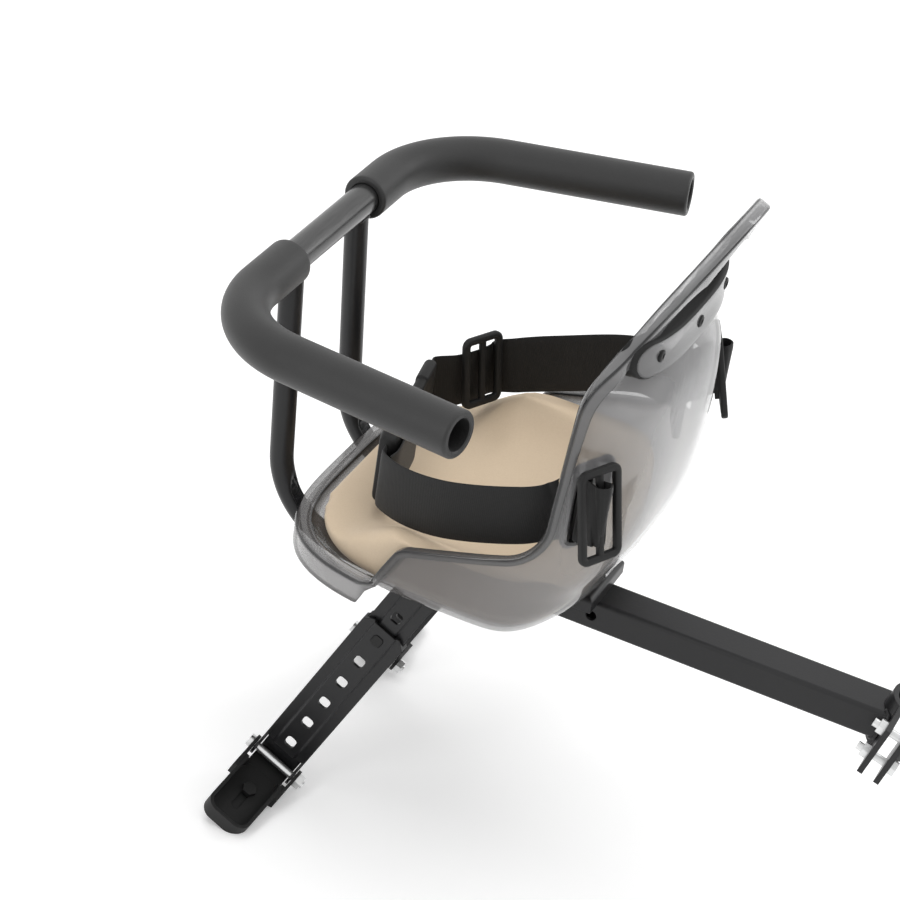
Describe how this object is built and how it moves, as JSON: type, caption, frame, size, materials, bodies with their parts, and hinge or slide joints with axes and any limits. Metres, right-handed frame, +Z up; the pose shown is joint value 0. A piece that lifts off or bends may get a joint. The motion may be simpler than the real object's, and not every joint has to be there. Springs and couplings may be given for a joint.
{
  "type": "kids bike seat",
  "caption": "Child's bucket seat for a bicycle on a beam with a seat post clamp, with foam-covered handrail, lap belt, cushion and folding footrests.",
  "frame": {"origin": "on the seat post axis, at the height of the beam's centre line, in the seat's mirror plane", "axes": "+X forward along the beam, +Y to the rider's left, +Z up; the seat post axis leans back 16 degrees"},
  "size_m": [0.5094, 0.4228, 0.5206],
  "materials": {
    "painted_frame": "satin black powder coat",
    "rail_metal": "satin dark",
    "foam": "matte closed-cell foam",
    "smoke_plastic": "smoke-grey see-through plastic, glossy",
    "cushion_cover": "matte beige leatherette",
    "webbing": "woven black webbing",
    "black_plastic": "satin black",
    "zinc": "bright zinc plated"
  },
  "bodies": {
    "seat": {"main_beam": "painted_frame", "cross_tube": "painted_frame", "seat_plate": "painted_frame", "clamp_front_half": "painted_frame", "clamp_rear_half": "painted_frame", "upright_left": "painted_frame", "upright_right": "painted_frame", "footrest_bracket_left": "painted_frame", "footrest_bracket_right": "painted_frame", "footrest_leg_left": "painted_frame", "footrest_leg_right": "painted_frame", "handrail": "rail_metal", "foam_grip_left": "foam", "foam_grip_right": "foam", "seat_shell": "smoke_plastic", "seat_cushion": "cushion_cover", "strap_left": "webbing", "strap_right": "webbing", "outer_slider_left": "black_plastic", "outer_slider_right": "black_plastic", "inner_slider_left": "black_plastic", "inner_slider_right": "black_plastic", "front_slider": "black_plastic", "buckle_socket": "black_plastic", "buckle_plug": "black_plastic", "clamp_bolts": "zinc", "clamp_nuts": "zinc", "hinge_pin_left": "zinc", "hinge_pin_right": "zinc", "hinge_nut_left": "zinc", "hinge_nut_right": "zinc", "leg_bolt_left": "zinc", "leg_bolt_right": "zinc", "back_screws": "zinc", "plate_screws": "zinc"},
    "pedal_left": {"footrest_pedal_left": "black_plastic", "pedal_screw_left": "zinc"},
    "pedal_right": {"footrest_pedal_right": "black_plastic", "pedal_screw_right": "zinc"}
  },
  "joints": [
    {"name": "footrest_fold_left", "type": "hinge", "parent": "seat", "child": "pedal_left", "pos_m": [0.4215, 0.084, -0.1765], "axis": [0.9041, 0, 0.4274], "range_deg": [0, 98]},
    {"name": "footrest_fold_right", "type": "hinge", "parent": "seat", "child": "pedal_right", "pos_m": [0.4215, -0.084, -0.1765], "axis": [-0.9041, 0, -0.4274], "range_deg": [0, 98]}
  ]
}
